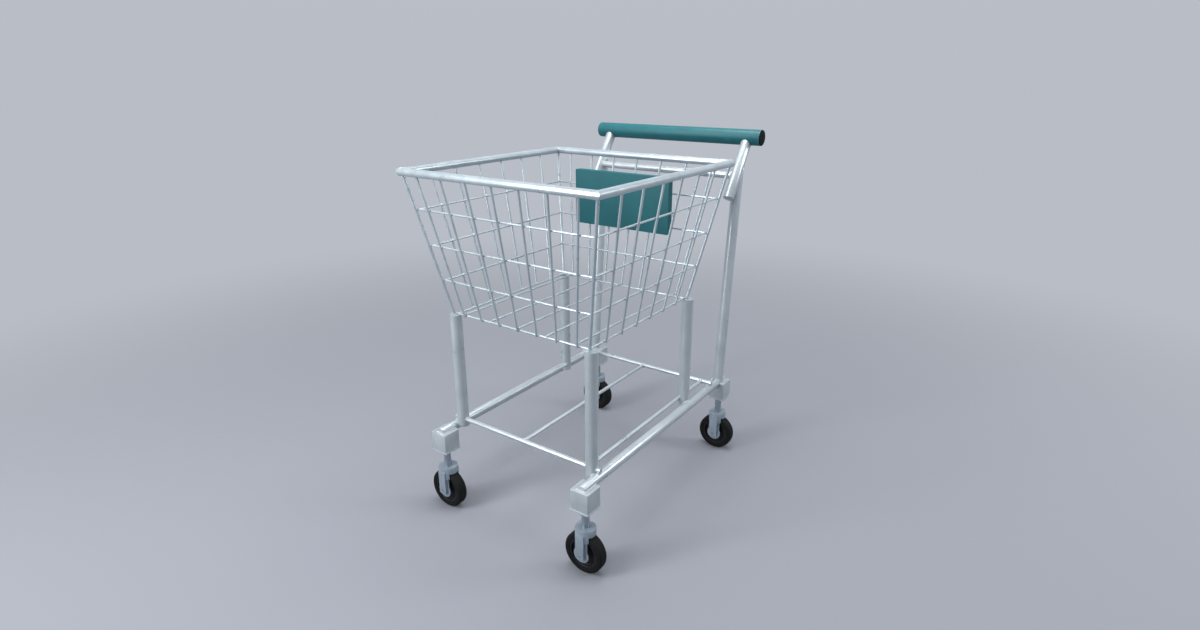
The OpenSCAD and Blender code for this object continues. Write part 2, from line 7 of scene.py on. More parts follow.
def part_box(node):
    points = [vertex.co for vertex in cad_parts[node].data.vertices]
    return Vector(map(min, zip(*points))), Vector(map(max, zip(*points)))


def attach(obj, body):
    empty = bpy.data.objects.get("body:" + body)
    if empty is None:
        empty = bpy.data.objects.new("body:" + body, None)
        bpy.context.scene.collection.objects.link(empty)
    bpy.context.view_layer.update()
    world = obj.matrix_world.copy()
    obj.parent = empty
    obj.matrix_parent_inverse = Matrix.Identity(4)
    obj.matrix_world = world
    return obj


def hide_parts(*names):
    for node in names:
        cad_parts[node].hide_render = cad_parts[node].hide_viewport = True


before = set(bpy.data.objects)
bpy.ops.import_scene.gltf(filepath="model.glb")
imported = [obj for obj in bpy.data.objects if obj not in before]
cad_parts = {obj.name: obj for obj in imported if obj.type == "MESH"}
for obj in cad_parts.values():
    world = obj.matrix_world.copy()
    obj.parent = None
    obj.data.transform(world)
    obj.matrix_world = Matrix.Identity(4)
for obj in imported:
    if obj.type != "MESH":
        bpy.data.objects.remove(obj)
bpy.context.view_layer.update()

# ---- Studio ------------------------------------------------------------------------------
# A seamless pale grey floor that runs into the background, soft lamps above, in front and
# behind, and the camera a little above the basket. None of it belongs to the cart.


def tone(code):
    """Linear colour of an sRGB hex value."""
    parts = [int(code[i:i + 2], 16) / 255 for i in (1, 3, 5)]
    return (*(p / 12.92 if p <= 0.04045 else ((p + 0.055) / 1.055) ** 2.4 for p in parts), 1.0)


def add(tree, kind, inputs=None, **settings):
    """Adds one node. Settings are its own; inputs are its sockets, each with a value or a link."""
    node = tree.nodes.new(kind)
    for key, value in settings.items():
        setattr(node, key, value)
    for key, value in (inputs or {}).items():
        if isinstance(value, bpy.types.NodeSocket):
            tree.links.new(value, node.inputs[key])
        else:
            node.inputs[key].default_value = value
    return node


scene = bpy.context.scene
scene.view_settings.view_transform = "Standard"

CAMERA_AT = Vector((1.04065, -1.48806, 1.14809))
CAMERA_LOOKS = Vector((-0.5402, 0.7710, -0.3373))
camera = bpy.data.objects.new("camera", bpy.data.cameras.new("camera"))
camera.data.sensor_width = 36.0
camera.data.lens = 20.265
camera.data.clip_end = 100.0
camera.location = CAMERA_AT
camera.rotation_euler = CAMERA_LOOKS.to_track_quat("-Z", "Y").to_euler()
scene.collection.objects.link(camera)
scene.camera = camera

HORIZON = tone("#b9bdc6")
ZENITH = tone("#cdd1d8")
COOL_FILL = (0.94, 0.97, 1.0, 1.0)
LAMP_WHITE = (1.0, 0.985, 0.965)

world = bpy.data.worlds.new("studio")
scene.world = world
world.use_nodes = True
sky = world.node_tree
sky.nodes.clear()
way_up = add(sky, "ShaderNodeTexCoord").outputs["Generated"]
height = add(sky, "ShaderNodeSeparateXYZ", {0: way_up}).outputs["Z"]
climb = add(sky, "ShaderNodeMapRange", {
    "Value": height, "From Min": 0.0, "From Max": 0.8}, interpolation_type="SMOOTHSTEP")
backdrop = add(sky, "ShaderNodeMix", {"Factor": climb.outputs[0], "A": HORIZON, "B": ZENITH}, data_type="RGBA")
glow = add(sky, "ShaderNodeMapRange", {
    "Value": height, "From Min": -0.6, "From Max": 0.9, "To Min": 0.22, "To Max": 0.60})
rays = add(sky, "ShaderNodeLightPath").outputs
mirrored = add(sky, "ShaderNodeMath", {
    0: rays["Is Glossy Ray"], 1: rays["Is Transmission Ray"]}, operation="MAXIMUM")
seen = add(sky, "ShaderNodeMath", {0: rays["Is Camera Ray"], 1: mirrored.outputs[0]}, operation="MAXIMUM")
shown = add(sky, "ShaderNodeBackground", {"Color": backdrop.outputs["Result"], "Strength": 1.0})
fill = add(sky, "ShaderNodeBackground", {"Color": COOL_FILL, "Strength": glow.outputs[0]})
both = add(sky, "ShaderNodeMixShader", {"Fac": seen.outputs[0], 1: fill.outputs[0], 2: shown.outputs[0]})
add(sky, "ShaderNodeOutputWorld", {"Surface": both.outputs[0]})

FLOOR_RADIUS = 40.0
FLOOR_NEAR = 0.3
FLOOR_FAR = 3.4
disc = bmesh.new()
bmesh.ops.create_circle(disc, cap_ends=True, radius=FLOOR_RADIUS, segments=96)
floor = bpy.data.objects.new("studio_floor", bpy.data.meshes.new("studio_floor"))
disc.to_mesh(floor.data)
disc.free()
scene.collection.objects.link(floor)
floor_paint = bpy.data.materials.new("studio floor, matt grey paint")
floor_paint.use_nodes = True
tree = floor_paint.node_tree
tree.nodes.clear()
reach = add(tree, "ShaderNodeVectorMath", {
    0: add(tree, "ShaderNodeTexCoord").outputs["Object"]}, operation="LENGTH")
fade = add(tree, "ShaderNodeMapRange", {
    "Value": reach.outputs["Value"], "From Min": FLOOR_NEAR, "From Max": FLOOR_FAR},
    interpolation_type="SMOOTHSTEP")
near = add(tree, "ShaderNodeBsdfDiffuse", {"Color": tone("#7f838c")})
far = add(tree, "ShaderNodeEmission", {"Color": HORIZON, "Strength": 1.0})
blend = add(tree, "ShaderNodeMixShader", {"Fac": fade.outputs[0], 1: near.outputs[0], 2: far.outputs[0]})
add(tree, "ShaderNodeOutputMaterial", {"Surface": blend.outputs[0]})
floor.data.materials.append(floor_paint)


def lamp(name, at, target, width, height, watts):
    """A soft box that faces a point."""
    light = bpy.data.lights.new(name, "AREA")
    light.shape = "RECTANGLE"
    light.size, light.size_y = width, height
    light.energy = watts
    light.color = LAMP_WHITE
    holder = bpy.data.objects.new(name, light)
    holder.location = at
    holder.rotation_euler = (Vector(target) - Vector(at)).to_track_quat("-Z", "Y").to_euler()
    scene.collection.objects.link(holder)


MIDDLE = (0.0, 0.0, 0.5)
lamp("key_lamp", (-1.1, -2.3, 2.6), MIDDLE, 1.1, 1.1, 62.0)
lamp("top_lamp", (0.1, 0.1, 3.3), MIDDLE, 1.6, 1.6, 92.0)
lamp("rear_lamp", (2.3, 1.4, 1.9), MIDDLE, 1.0, 1.0, 34.0)
lamp("strip_lamp", (-1.15, -2.4, 1.1), (0.0, 0.0, 1.1), 0.30, 1.4, 34.0)

# ---- Side rails --------------------------------------------------------------------------
# Two long steel tubes carry everything. Each is closed at its ends by a welded cap with an
# eased edge, and the whole frame is powder coated after welding.


def surface(name, colour, second, roughness, spread, patch_mm, grain_mm, depth_mm, metallic=0.0, **sockets):
    """A material of two close colours in soft patches, with a fine relief over them. patch_mm and
    grain_mm are the sizes of both on the real surface, and depth_mm is the relief's depth."""
    material = bpy.data.materials.new(name)
    material.use_nodes = True
    tree = material.node_tree
    shader = tree.nodes["Principled BSDF"]
    shader.inputs["Metallic"].default_value = metallic
    for key, value in sockets.items():
        shader.inputs[key.replace("_", " ")].default_value = value
    place = add(tree, "ShaderNodeTexCoord").outputs["Object"]
    patches = add(tree, "ShaderNodeTexNoise", {
        "Vector": place, "Scale": 1000 / patch_mm, "Detail": 3.0, "Roughness": 0.6})
    grain = add(tree, "ShaderNodeTexNoise", {
        "Vector": place, "Scale": 1000 / grain_mm, "Detail": 2.0, "Roughness": 0.5})
    amount = add(tree, "ShaderNodeMapRange", {
        "Value": patches.outputs["Fac"], "From Min": 0.35, "From Max": 0.65})
    colours = add(tree, "ShaderNodeMix", {
        "Factor": amount.outputs[0], "A": tone(colour), "B": tone(second)}, data_type="RGBA")
    gloss = add(tree, "ShaderNodeMapRange", {
        "Value": patches.outputs["Fac"], "From Min": 0.3, "From Max": 0.7,
        "To Min": roughness - spread, "To Max": roughness + spread})
    relief = add(tree, "ShaderNodeBump", {
        "Height": grain.outputs["Fac"], "Strength": 1.0, "Distance": depth_mm / 1000})
    tree.links.new(colours.outputs["Result"], shader.inputs["Base Color"])
    tree.links.new(gloss.outputs[0], shader.inputs["Roughness"])
    tree.links.new(relief.outputs[0], shader.inputs["Normal"])
    return material


# Powder coat in pale blue-grey with a little metal flake: satin, with a slight orange peel whose
# bumps are about 2 mm across. The highlights are soft and the colour shifts a little in patches.
tube_coat = surface(
    "powder coat on steel tube", "#a6b0b6", "#b0b9bf", roughness=0.32, spread=0.05,
    patch_mm=70.0, grain_mm=2.2, depth_mm=0.035, metallic=0.45, Coat_Weight=0.15, Coat_Roughness=0.25)


def dress(material, *nodes):
    """Gives CAD pieces that stay as they are their material."""
    for node in nodes:
        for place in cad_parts[node].material_slots:
            place.material = material


def set_piece(name, shape, material, body, stands_for=(), crease=38):
    """Makes a piece of a finished shape, gives it its material and body, and hides the CAD pieces it stands
    for.
    """
    mesh = bpy.data.meshes.new(name)
    shape.to_mesh(mesh)
    shape.free()
    mesh.materials.clear()
    mesh.materials.append(material)
    mesh.shade_smooth()
    mesh.set_sharp_from_angle(angle=math.radians(crease))
    piece = bpy.data.objects.new(name, mesh)
    scene.collection.objects.link(piece)
    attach(piece, body)
    if stands_for:
        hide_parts(*stands_for)


MERGE, FLAT_ANGLE, SHARP_ANGLE = 2e-6, 0.5, 30


def eased_copy(node, width, steps=2):
    """The shape of a CAD piece with its sharp edges rounded by a width."""
    shape = bmesh.new()
    shape.from_mesh(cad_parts[node].data)
    bmesh.ops.remove_doubles(shape, verts=shape.verts, dist=MERGE)
    bmesh.ops.dissolve_limit(shape, angle_limit=math.radians(FLAT_ANGLE), verts=shape.verts, edges=shape.edges)
    edges = [e for e in shape.edges if e.is_manifold and e.calc_face_angle() > math.radians(SHARP_ANGLE)]
    bmesh.ops.bevel(shape, geom=edges, offset=width, offset_type="OFFSET", segments=steps,
                    profile=0.5, affect="EDGES", clamp_overlap=True)
    bmesh.ops.triangulate(shape, faces=[f for f in shape.faces if len(f.verts) > 4])
    return shape


TUBE_EDGE = 0.0012
SIDES = {"left": 1, "right": -1}
for side in SIDES:
    rail = f"{side}_rail"
    set_piece(f"{side}_rail_finished", eased_copy(rail, TUBE_EDGE), tube_coat,
              "frame", [rail])

# ---- Corner blocks -----------------------------------------------------------------------
# Four steel castings, sand cast and fettled, so their edges are soft and their skin is slightly
# rough under the coat. Each holds a rail's end above and a caster's stem below, and a pressed
# plate with four countersunk screws closes it underneath.

# The same powder coat over a sand casting: the sand's grain of about 1 mm shows through.
casting_coat = surface(
    "powder coat on cast steel", "#a2abb2", "#aeb7bd", roughness=0.40, spread=0.06,
    patch_mm=40.0, grain_mm=1.3, depth_mm=0.12, metallic=0.40, Coat_Weight=0.1, Coat_Roughness=0.35)
# Zinc plated steel: a bluish white metal, quite even, with a very fine grain.
zinc_plate = surface(
    "zinc plated steel", "#8f99a4", "#9ca5af", roughness=0.42, spread=0.06,
    patch_mm=9.0, grain_mm=0.8, depth_mm=0.02, metallic=0.85)

CORNERS = ["front_left", "front_right", "rear_left", "rear_right"]
BLOCK_EDGE = 0.0016
for corner in CORNERS:
    block = f"{corner}_block"
    set_piece(f"{block}_cast", eased_copy(block, BLOCK_EDGE, 3), casting_coat,
              "frame", [block])
PLATE_EDGE = 0.0007
set_piece("base_plates_pressed", eased_copy("base_plates", PLATE_EDGE), casting_coat,
          "frame", ["base_plates"])


def middle(node):
    """The middle of a CAD piece's box."""
    low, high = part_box(node)
    return (low + high) / 2


def span(node):
    """The size of a CAD piece's box."""
    low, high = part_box(node)
    return high - low


def ring_of(shape, radius, height, place, steps):
    """One ring of points round an axis, or a single point where the radius is nothing."""
    if radius < 1e-7:
        return [shape.verts.new(place @ Vector((0, 0, height)))]
    angles = [2 * math.pi * i / steps for i in range(steps)]
    return [shape.verts.new(place @ Vector((radius * math.cos(a), radius * math.sin(a), height)))
            for a in angles]


def turned(shape, profile, at, axis, steps, loop=False):
    """Adds a turned form. The profile holds (radius, distance along the axis), in metres."""
    turn = Vector((0, 0, 1)).rotation_difference(Vector(axis)).to_matrix().to_4x4()
    place = Matrix.Translation(at) @ turn
    rings = [ring_of(shape, r, h, place, steps) for r, h in profile]
    if loop:
        rings.append(rings[0])
    made = []
    for low, high in zip(rings, rings[1:]):
        for i in range(steps):
            j = (i + 1) % steps
            corners = [low[i % len(low)], low[j % len(low)], high[j % len(high)], high[i % len(high)]]
            made.append(shape.faces.new(list(dict.fromkeys(corners))))
    bmesh.ops.recalc_face_normals(shape, faces=made)


def cross_screw(head_r, head_h, shank_r, length, recess_r, domed):
    """A screw with a cross recess, its head's top at the origin and its shank down the Z axis."""
    shape = bmesh.new()
    steps = 32
    arm = recess_r * 0.3
    rise = head_h * 0.35 if domed else 0.0
    flat_r = head_r * (0.62 if domed else 0.97)
    outline = [(arm, arm), (arm, recess_r), (-arm, recess_r), (-arm, arm),
               (-recess_r, arm), (-recess_r, -arm), (-arm, -arm), (-arm, -recess_r),
               (arm, -recess_r), (arm, -arm), (recess_r, -arm), (recess_r, arm)]
    cross = [shape.verts.new((x, y, 0)) for x, y in outline]
    rim = ring_of(shape, flat_r, 0, Matrix.Identity(4), steps)
    edges = [shape.edges.new((a, b)) for loop in (cross, rim) for a, b in zip(loop, loop[1:] + loop[:1])]
    bmesh.ops.triangle_fill(shape, use_beauty=True, use_dissolve=False, edges=edges)
    for face in [f for f in shape.faces if all(v in cross for v in f.verts)]:
        shape.faces.remove(face)
    depth = head_h * 0.7
    foot = [shape.verts.new((v.co.x * 0.7, v.co.y * 0.7, -depth)) for v in cross]
    for i in range(len(cross)):
        j = (i + 1) % len(cross)
        shape.faces.new((cross[i], cross[j], foot[j], foot[i]))
    shape.faces.new(foot)
    if domed:
        profile = [(head_r * 0.86, -rise * 0.45), (head_r, -rise * 1.3),
                   (head_r, -head_h), (shank_r, -head_h)]
    else:
        profile = [(head_r, -0.00015), (shank_r, -head_h)]
    profile += [(shank_r, -length + 0.001), (shank_r * 0.6, -length), (0, -length)]
    rings = [rim] + [ring_of(shape, r, h, Matrix.Identity(4), steps) for r, h in profile]
    for low, high in zip(rings, rings[1:]):
        for i in range(steps):
            j = (i + 1) % steps
            corners = [low[i], low[j], high[j % len(high)], high[i % len(high)]]
            shape.faces.new(list(dict.fromkeys(corners)))
    bmesh.ops.recalc_face_normals(shape, faces=shape.faces)
    return shape


def tree_with(name, **sockets):
    """A geometry tree with named inputs, its input node's outputs and a function that ends it."""
    tree = bpy.data.node_groups.new(name, "GeometryNodeTree")
    tree.interface.new_socket("Geometry", in_out="INPUT", socket_type="NodeSocketGeometry")
    for key, kind in sockets.items():
        tree.interface.new_socket(
            key.replace("_", " "), in_out="INPUT", socket_type="NodeSocket" + kind)
    tree.interface.new_socket("Geometry", in_out="OUTPUT", socket_type="NodeSocketGeometry")
    start = add(tree, "NodeGroupInput").outputs

    def close(made):
        real = add(tree, "GeometryNodeRealizeInstances", {"Geometry": made})
        painted = add(tree, "GeometryNodeSetMaterial", {
            "Geometry": real.outputs[0], "Material": start["Material"]})
        add(tree, "NodeGroupOutput", {"Geometry": painted.outputs[0]})

    return tree, start, close


def grown(name, mesh, tree, values, body, stands_for=(), crease=38):
    """Runs a geometry tree on a mesh of points or lines and keeps the result as a plain piece."""
    carrier = bpy.data.objects.new(f"{name}_carrier", mesh)
    scene.collection.objects.link(carrier)
    maker = carrier.modifiers.new("maker", "NODES")
    maker.node_group = tree
    for item in tree.interface.items_tree:
        if item.in_out == "INPUT" and item.name in values:
            maker[item.identifier] = values[item.name]
    carrier.update_tag()
    depsgraph = bpy.context.evaluated_depsgraph_get()
    result = bpy.data.meshes.new_from_object(carrier.evaluated_get(depsgraph))
    bpy.data.objects.remove(carrier)
    shape = bmesh.new()
    shape.from_mesh(result)
    bpy.data.meshes.remove(result)
    set_piece(name, shape, values["Material"], body, stands_for, crease)


# Screws set at points: each point carries the way its screw's head faces.
screw_tree, start, close = tree_with("screws in their holes", Screw="Object", Material="Material")
facing = add(screw_tree, "GeometryNodeInputNamedAttribute", {"Name": "facing"}, data_type="FLOAT_VECTOR")
turn = add(screw_tree, "FunctionNodeAlignRotationToVector", {"Vector": facing.outputs["Attribute"]}, axis="Z")
model = add(screw_tree, "GeometryNodeObjectInfo", {"Object": start["Screw"]})
placed = add(screw_tree, "GeometryNodeInstanceOnPoints", {
    "Points": start["Geometry"], "Instance": model.outputs["Geometry"], "Rotation": turn.outputs[0]})
close(placed.outputs[0])


def points_mesh(name, points, facings):
    """A mesh of loose points, each with the direction that its screw or nugget faces."""
    mesh = bpy.data.meshes.new(name)
    mesh.from_pydata([tuple(p) for p in points], [], [])
    directions = mesh.attributes.new("facing", "FLOAT_VECTOR", "POINT")
    for i, way in enumerate(facings):
        directions.data[i].vector = way
    return mesh


def screw_row(name, shape, points, facings, stands_for):
    """Screws of one shape at points, as one piece on the frame."""
    mesh = bpy.data.meshes.new(f"{name}_one")
    shape.to_mesh(mesh)
    shape.free()
    one = bpy.data.objects.new(f"{name}_one", mesh)
    scene.collection.objects.link(one)
    grown(name, points_mesh(f"{name}_points", points, facings), screw_tree,
          {"Screw": one, "Material": zinc_plate}, "frame", stands_for)
    bpy.data.objects.remove(one)


SCREW_HALF_PITCH = 0.020
HEAD_SUNK = 0.0001
PLATE_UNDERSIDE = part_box("base_plates")[0].z
spots = []
for corner in CORNERS:
    at = middle(f"{corner}_block")
    for dx in (-1, 1):
        for dy in (-1, 1):
            spots.append((at.x + dx * SCREW_HALF_PITCH, at.y + dy * SCREW_HALF_PITCH,
                          PLATE_UNDERSIDE + HEAD_SUNK))
countersunk = cross_screw(
    head_r=0.0039, head_h=0.0021, shank_r=0.0019, length=0.013, recess_r=0.0021, domed=False)
screw_row("base_plate_screws_countersunk", countersunk,
          spots, [(0, 0, -1)] * len(spots), ["base_plate_screws"])

# Plain sleeve bushes of black acetal, pressed into the blocks: smooth with a dull shine.
bush_plastic = surface(
    "moulded black acetal", "#17181a", "#1d1e20", roughness=0.35, spread=0.05,
    patch_mm=12.0, grain_mm=0.6, depth_mm=0.01)
dress(bush_plastic, "stem_bushes")

# ---- Legs, crossbars and lower shelf -----------------------------------------------------
# Four upright tubes stand over the rails and carry the basket. A crossbar runs through the
# front legs, another lies on the rails behind, and three rods between them form the shelf.
LEGS = [f"{corner}_leg" for corner in CORNERS]
dress(tube_coat, *LEGS, "front_crossbar", "rear_crossbar", "shelf_rods")

# ---- Handle ------------------------------------------------------------------------------
# Two uprights rise from the rails' rear ends to the slanting arms. A bar links the arms, and
# their upper ends are welded to a tube that the grip slides over.
dress(tube_coat, "left_upright", "right_upright", "link_bar", "handle_tube")
for side in SIDES:
    arm = f"{side}_handle_arm"
    set_piece(f"{side}_handle_arm_finished", eased_copy(arm, TUBE_EDGE), tube_coat,
              "frame", [arm])

# Teal polypropylene, moulded with a fine spark-eroded grain: satin, with a soft even colour.
grip_plastic = surface(
    "moulded teal polypropylene", "#0f555d", "#135c64", roughness=0.50, spread=0.05,
    patch_mm=55.0, grain_mm=0.9, depth_mm=0.03, Specular_IOR_Level=0.35)
GRIP_EDGE = 0.0014
set_piece("grip_moulded", eased_copy("handle_grip", GRIP_EDGE, 3), grip_plastic,
          "frame", ["handle_grip"])

# Black polyethylene end plugs: a wide, slightly domed head covers the grip's end, and the shank
# is pushed into the tube. Their dull, near black colour over the whole end is painted shade: it
# stands in for the shade that falls on the grip's end faces, which face away from the lamps.
plug_plastic_painted_shade = surface(
    "black polyethylene end plug, painted shade", "#07080a", "#0b0c0e", roughness=0.70, spread=0.05,
    patch_mm=14.0, grain_mm=0.7, depth_mm=0.02, Specular_IOR_Level=0.1)
plugs = bmesh.new()
plug_low, plug_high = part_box("handle_end_plugs")
PLUG_R = (plug_high.z - plug_low.z) / 2
SHANK_R = 0.01395
for side in SIDES.values():
    end_x = plug_high.x if side > 0 else plug_low.x
    turned(plugs, [
        (0, 0), (PLUG_R * 0.55, -0.0001), (PLUG_R - 0.0018, -0.0003), (PLUG_R - 0.0006, -0.0007),
        (PLUG_R, -0.0014), (PLUG_R, -0.0023), (SHANK_R, -0.0024), (SHANK_R, -0.0150),
        (SHANK_R - 0.0012, -0.0163), (SHANK_R - 0.0025, -0.0163), (SHANK_R - 0.0025, -0.005), (0, -0.005),
    ], (end_x, middle("handle_tube").y, middle("handle_tube").z), (side, 0, 0), 64)
set_piece("handle_end_plugs_moulded", plugs, plug_plastic_painted_shade, "frame", ["handle_end_plugs"])

# ---- Basket ------------------------------------------------------------------------------
# A mitred tube rim, upright wires outside four mitred ring wires, and five rods for a floor.
# Every crossing is resistance welded before the basket is coated.

# The coat on thin wire is a little glossier, and its orange peel is finer.
wire_coat = surface(
    "powder coat on steel wire", "#9eabb3", "#a9b5bc", roughness=0.32, spread=0.05,
    patch_mm=45.0, grain_mm=1.8, depth_mm=0.03, metallic=0.45, Coat_Weight=0.2, Coat_Roughness=0.2)
WALLS = ["corner_wires", "front_wires", "rear_wires", "left_wires", "right_wires"]
RINGS = ["bottom_ring", "low_ring", "middle_ring", "high_ring"]
dress(wire_coat, "basket_rim", "floor_rods", *WALLS, *RINGS)

WIRE_R, CORNER_R, RING_R, RIM_R = 0.003, 0.004, 0.0025, 0.00975
END_WIRES, SIDE_WIRES, END_MARGIN, SIDE_MARGIN = 7, 6, 0.6, 1.0
FLOOR_RODS, ROD_MARGIN = 5, 0.45
rim_low, rim_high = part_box("basket_rim")
RIM_Z = middle("basket_rim").z
RIM_X = rim_high.x - RIM_R
RIM_FRONT, RIM_REAR = rim_low.y + RIM_R, rim_high.y - RIM_R
FOOT_X, FOOT_FRONT, FOOT_REAR, FOOT_Z = 0.216, -0.351432, 0.108568, middle("bottom_ring").z


def row(count, margin, width):
    """Places of a row of wires across a width, with a margin in shares of their spacing."""
    pitch = width / (count - 1 + 2 * margin)
    return [(i - (count - 1) / 2) * pitch for i in range(count)]


rim_y, foot_y = (RIM_FRONT + RIM_REAR) / 2, (FOOT_FRONT + FOOT_REAR) / 2
wires = []
for end_foot, end_rim, facing_y in ((FOOT_FRONT, RIM_FRONT, 1), (FOOT_REAR, RIM_REAR, -1)):
    for low, high in zip(row(END_WIRES, END_MARGIN, 2 * FOOT_X), row(END_WIRES, END_MARGIN, 2 * RIM_X)):
        foot, head = Vector((low, end_foot, FOOT_Z)), Vector((high, end_rim, RIM_Z))
        wires.append((foot, head, Vector((0, facing_y, 0))))
for side in SIDES.values():
    for low, high in zip(row(SIDE_WIRES, SIDE_MARGIN, FOOT_REAR - FOOT_FRONT),
                         row(SIDE_WIRES, SIDE_MARGIN, RIM_REAR - RIM_FRONT)):
        foot = Vector((side * FOOT_X, foot_y + low, FOOT_Z))
        head = Vector((side * RIM_X, rim_y + high, RIM_Z))
        wires.append((foot, head, Vector((-side, 0, 0))))
corner_lines = []
for side in SIDES.values():
    for end_foot, end_rim in ((FOOT_FRONT, RIM_FRONT), (FOOT_REAR, RIM_REAR)):
        foot = Vector((side * FOOT_X, end_foot, FOOT_Z))
        head = Vector((side * RIM_X, end_rim, RIM_Z))
        corner_lines.append((foot, head))

# Nuggets where wires cross: flat swellings squeezed out between the two wires. No two are quite
# the same size.
SMALLEST, LARGEST = 0.88, 1.12
NUGGET_SEAT = 0.00005
nugget_tree, start, close = tree_with(
    "weld nuggets", Radius="Float", Thickness="Float", Seed="Int", Material="Material")
facing = add(nugget_tree, "GeometryNodeInputNamedAttribute", {"Name": "facing"}, data_type="FLOAT_VECTOR")
turn = add(nugget_tree, "FunctionNodeAlignRotationToVector", {"Vector": facing.outputs["Attribute"]}, axis="Z")
shape_of = add(nugget_tree, "ShaderNodeCombineXYZ", {
    0: start["Radius"], 1: start["Radius"], 2: start["Thickness"]})
chance = add(nugget_tree, "FunctionNodeRandomValue", {
    2: SMALLEST, 3: LARGEST, "Seed": start["Seed"]}, data_type="FLOAT")
size = add(nugget_tree, "ShaderNodeVectorMath", {
    0: shape_of.outputs[0], "Scale": chance.outputs[1]}, operation="SCALE")
ball = add(nugget_tree, "GeometryNodeMeshIcoSphere", {"Radius": 1.0, "Subdivisions": 2})
placed = add(nugget_tree, "GeometryNodeInstanceOnPoints", {
    "Points": start["Geometry"], "Instance": ball.outputs[0],
    "Rotation": turn.outputs[0], "Scale": size.outputs[0]})
smooth = add(nugget_tree, "GeometryNodeSetShadeSmooth", {"Geometry": placed.outputs[0]})
close(smooth.outputs[0])

ring_heights = [middle(ring).z for ring in RINGS]
spots, ways = [], []
for foot, head, inward in wires:
    slope = (head - foot).normalized()
    for z in ring_heights:
        on_wire = foot.lerp(head, (z - FOOT_Z) / (RIM_Z - FOOT_Z))
        way = (inward - slope * inward.dot(slope)).normalized()
        spots.append(on_wire + way * (WIRE_R + NUGGET_SEAT))
        ways.append(way)
ring_low, ring_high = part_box("bottom_ring")
for x in row(FLOOR_RODS, ROD_MARGIN, 2 * FOOT_X):
    for y in (ring_low.y + RING_R, ring_high.y - RING_R):
        spots.append(Vector((x, y, FOOT_Z + RING_R)))
        ways.append(Vector((0, 0, 1)))
grown("basket_weld_nuggets", points_mesh("nugget_points", spots, ways), nugget_tree,
      {"Radius": 0.0031, "Thickness": 0.0014, "Seed": 4, "Material": wire_coat},
      "frame", crease=80)

# ---- Weld beads --------------------------------------------------------------------------
# The tubes are joined by MIG welding: a rounded bead with overlapping ripples runs round each
# joint. They were coated with the frame, so they have its colour.

bead_tree, start, close = tree_with(
    "rippled weld bead", Bead_radius="Float", Ripple_pitch="Float", Ripple_depth="Float",
    Material="Material")
lines = add(bead_tree, "GeometryNodeMeshToCurve", {"Mesh": start["Geometry"]})
step = add(bead_tree, "ShaderNodeMath", {0: start["Ripple pitch"], 1: 0.25}, operation="MULTIPLY")
even = add(bead_tree, "GeometryNodeResampleCurve", {
    "Curve": lines.outputs[0], "Length": step.outputs[0]}, mode="LENGTH")
along = add(bead_tree, "GeometryNodeSplineParameter").outputs["Length"]
count = add(bead_tree, "ShaderNodeMath", {0: along, 1: start["Ripple pitch"]}, operation="DIVIDE")
share = add(bead_tree, "ShaderNodeMath", {0: count.outputs[0]}, operation="FRACT")
hollow = add(bead_tree, "ShaderNodeMath", {0: share.outputs[0], 1: start["Ripple depth"]}, operation="MULTIPLY")
swell = add(bead_tree, "ShaderNodeMath", {0: 1.0, 1: hollow.outputs[0]}, operation="SUBTRACT")
circle = add(bead_tree, "GeometryNodeCurvePrimitiveCircle", {
    "Resolution": 8, "Radius": start["Bead radius"]})
bead = add(bead_tree, "GeometryNodeCurveToMesh", {
    "Curve": even.outputs[0], "Profile Curve": circle.outputs[0],
    "Scale": swell.outputs[0], "Fill Caps": True})
smooth = add(bead_tree, "GeometryNodeSetShadeSmooth", {"Geometry": bead.outputs[0]})
close(smooth.outputs[0])


def meeting(tube, other, far_side, turns=72):
    """Runs of points where the skin of one tube meets another's, each (points, is it a whole ring).
    A tube is (point on its axis, direction, radius). far_side takes the second crossing."""
    start, along, radius = tube
    origin, axis, other_radius = other
    first = along.orthogonal().normalized()
    second = along.cross(first)
    flat_way = along - axis * along.dot(axis)
    found = []
    for i in range(turns):
        angle = 2 * math.pi * i / turns
        skin = start + radius * (math.cos(angle) * first + math.sin(angle) * second)
        offset = skin - origin
        offset -= axis * offset.dot(axis)
        a, b, c = flat_way.length_squared, offset.dot(flat_way), offset.length_squared - other_radius ** 2
        inside = b * b - a * c
        if inside < 0:
            found.append(None)
        else:
            root = math.sqrt(inside)
            found.append(skin + along * ((-b + root) / a if far_side else (-b - root) / a))
    return runs_of(found)


def runs_of(found):
    """Splits a ring of points with gaps into its unbroken runs."""
    if None not in found:
        return [(found, True)]
    first_gap = found.index(None)
    runs, run = [], []
    for point in found[first_gap:] + found[:first_gap] + [None]:
        if point is not None:
            run.append(point)
        elif run:
            if len(run) > 2:
                runs.append((run, False))
            run = []
    return runs


def beads(name, runs, radius, pitch, depth, material):
    """Weld beads along runs of points, as one piece on the frame. depth is a share of the radius."""
    points, edges = [], []
    for run, ring in runs:
        first = len(points)
        points += [tuple(p) for p in run]
        edges += [(first + i, first + i + 1) for i in range(len(run) - 1)]
        if ring:
            edges.append((len(points) - 1, first))
    mesh = bpy.data.meshes.new(f"{name}_lines")
    mesh.from_pydata(points, edges, [])
    values = {"Bead radius": radius, "Ripple pitch": pitch, "Ripple depth": depth, "Material": material}
    grown(name, mesh, bead_tree, values, "frame", crease=80)


